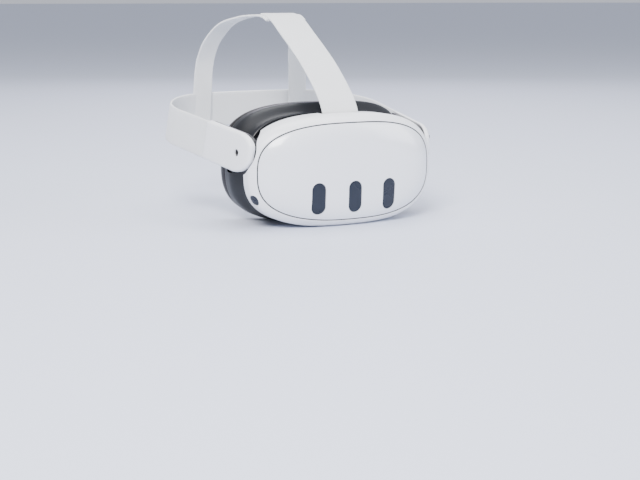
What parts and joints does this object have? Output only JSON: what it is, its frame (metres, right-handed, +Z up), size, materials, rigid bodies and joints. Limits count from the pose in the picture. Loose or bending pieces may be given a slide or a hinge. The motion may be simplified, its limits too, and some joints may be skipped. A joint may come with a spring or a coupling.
{
  "type": "virtual reality headset",
  "caption": "Stand-alone virtual reality headset: rounded white visor with dark pill-shaped camera windows, black facial interface and a soft white strap with an overhead strap.",
  "frame": {"origin": "centre of the bounding box at the base plane the headset rests on", "axes": "+X to the wearer's left, +Y from the front cover to the back of the head, +Z up"},
  "size_m": [0.2184, 0.2286, 0.184],
  "materials": {
    "cover_white": "glossy",
    "shell_white": "satin",
    "black_plastic": "satin",
    "dark_window": "glossy",
    "strap_fabric": "woven",
    "foam_black": "knit over foam",
    "rubber_black": "matte",
    "lens_glass": "coated",
    "board_green": "matte",
    "alloy": "cast",
    "steel": "ground",
    "cell_grey": "matte"
  },
  "bodies": {
    "headset": {"front_cover": "cover_white", "camera_window_left": "dark_window", "camera_window_centre": "dark_window", "camera_window_right": "dark_window", "parting_seal": "rubber_black", "rim_housing": "shell_white", "side_camera_window_left": "dark_window", "side_camera_window_right": "dark_window", "side_camera_left": "black_plastic", "side_camera_right": "black_plastic", "front_frame": "alloy", "main_board": "board_green", "heat_sink": "alloy", "fan_housing": "black_plastic", "battery": "cell_grey", "camera_pair_left": "black_plastic", "camera_pair_right": "black_plastic", "depth_projector": "black_plastic", "rear_housing": "black_plastic", "lens_diaphragm": "rubber_black", "proximity_sensor": "black_plastic", "guide_rod": "steel", "strap_anchor": "black_plastic", "strap_tab": "strap_fabric", "frame_screws": "steel"},
    "fan": {"fan_rotor": "black_plastic"},
    "ipd_control": {"ipd_wheel": "black_plastic", "ipd_screw": "steel"},
    "eyepiece_left": {"display_left": "black_plastic", "lens_barrel_left": "black_plastic", "lens_left": "lens_glass"},
    "eyepiece_right": {"display_right": "black_plastic", "lens_barrel_right": "black_plastic", "lens_right": "lens_glass"},
    "volume_control": {"volume_rocker": "shell_white"},
    "power_control": {"power_button": "shell_white"},
    "facial_interface": {"interface_frame": "black_plastic", "face_cushion": "foam_black", "nose_blocker": "rubber_black"},
    "depth_release_left": {"depth_button_left": "black_plastic"},
    "depth_release_right": {"depth_button_right": "black_plastic"},
    "headband": {"arm_shell_left": "shell_white", "arm_shell_right": "shell_white", "arm_liner_left": "black_plastic", "arm_liner_right": "black_plastic", "speaker_left": "black_plastic", "speaker_right": "black_plastic", "hinge_pin_left": "steel", "hinge_pin_right": "steel", "side_strap_left": "strap_fabric", "side_strap_right": "strap_fabric", "strap_leg_left": "strap_fabric", "strap_leg_right": "strap_fabric", "audio_jack": "steel", "charging_port": "steel", "rear_band": "strap_fabric", "top_strap": "strap_fabric"},
    "slider_left": {"strap_slider_left": "shell_white"},
    "slider_right": {"strap_slider_right": "shell_white"}
  },
  "joints": [
    {"name": "headband_tilt", "type": "hinge", "parent": "headset", "child": "headband", "pos_m": [0, -0.07365, 0.0665], "axis": [1, 0, 0], "range_deg": [-10, 15]},
    {"name": "interface_depth", "type": "slide", "parent": "headset", "child": "facial_interface", "axis": [0, 1, 0], "range_m": [0, 0.012]},
    {"name": "depth_release_left_press", "type": "slide", "parent": "facial_interface", "child": "depth_release_left", "axis": [1, 0, 0], "range_m": [0, 0.0012], "stiffness_N_per_m": 600},
    {"name": "depth_release_right_press", "type": "slide", "parent": "facial_interface", "child": "depth_release_right", "axis": [-1, 0, 0], "range_m": [0, 0.0012], "stiffness_N_per_m": 600},
    {"name": "ipd_turn", "type": "hinge", "parent": "headset", "child": "ipd_control", "pos_m": [0, -0.08965, 0.0144], "axis": [1, 0, 0], "range_deg": [-180, 180]},
    {"name": "eyepiece_left_slide", "type": "slide", "parent": "headset", "child": "eyepiece_left", "axis": [1, 0, 0], "range_m": [-0.00325, 0.00325]},
    {"name": "eyepiece_right_slide", "type": "slide", "parent": "headset", "child": "eyepiece_right", "axis": [1, 0, 0], "range_m": [-0.00325, 0.00325]},
    {"name": "fan_spin", "type": "hinge", "parent": "headset", "child": "fan", "pos_m": [0, -0.10665, 0.065], "axis": [0, 1, 0], "continuous": true},
    {"name": "volume_rock", "type": "hinge", "parent": "headset", "child": "volume_control", "pos_m": [-0.04, -0.08765, 0.008], "axis": [0, 1, 0], "range_deg": [-2.5, 2.5], "stiffness_Nm_per_rad": 0.6},
    {"name": "power_press", "type": "slide", "parent": "headset", "child": "power_control", "axis": [-1, 0, 0], "range_m": [0, 0.0008], "stiffness_N_per_m": 1200},
    {"name": "slider_left_slide", "type": "slide", "parent": "headband", "child": "slider_left", "axis": [1, 0, 0], "range_m": [-0.01, 0.01]},
    {"name": "slider_right_slide", "type": "slide", "parent": "headband", "child": "slider_right", "axis": [1, 0, 0], "range_m": [-0.01, 0.01]}
  ],
  "couplings": [
    {"joint": "eyepiece_right_slide", "follows": "eyepiece_left_slide", "ratio": -1},
    {"joint": "ipd_turn", "follows": "eyepiece_left_slide", "rad_per_m": 966.64}
  ]
}
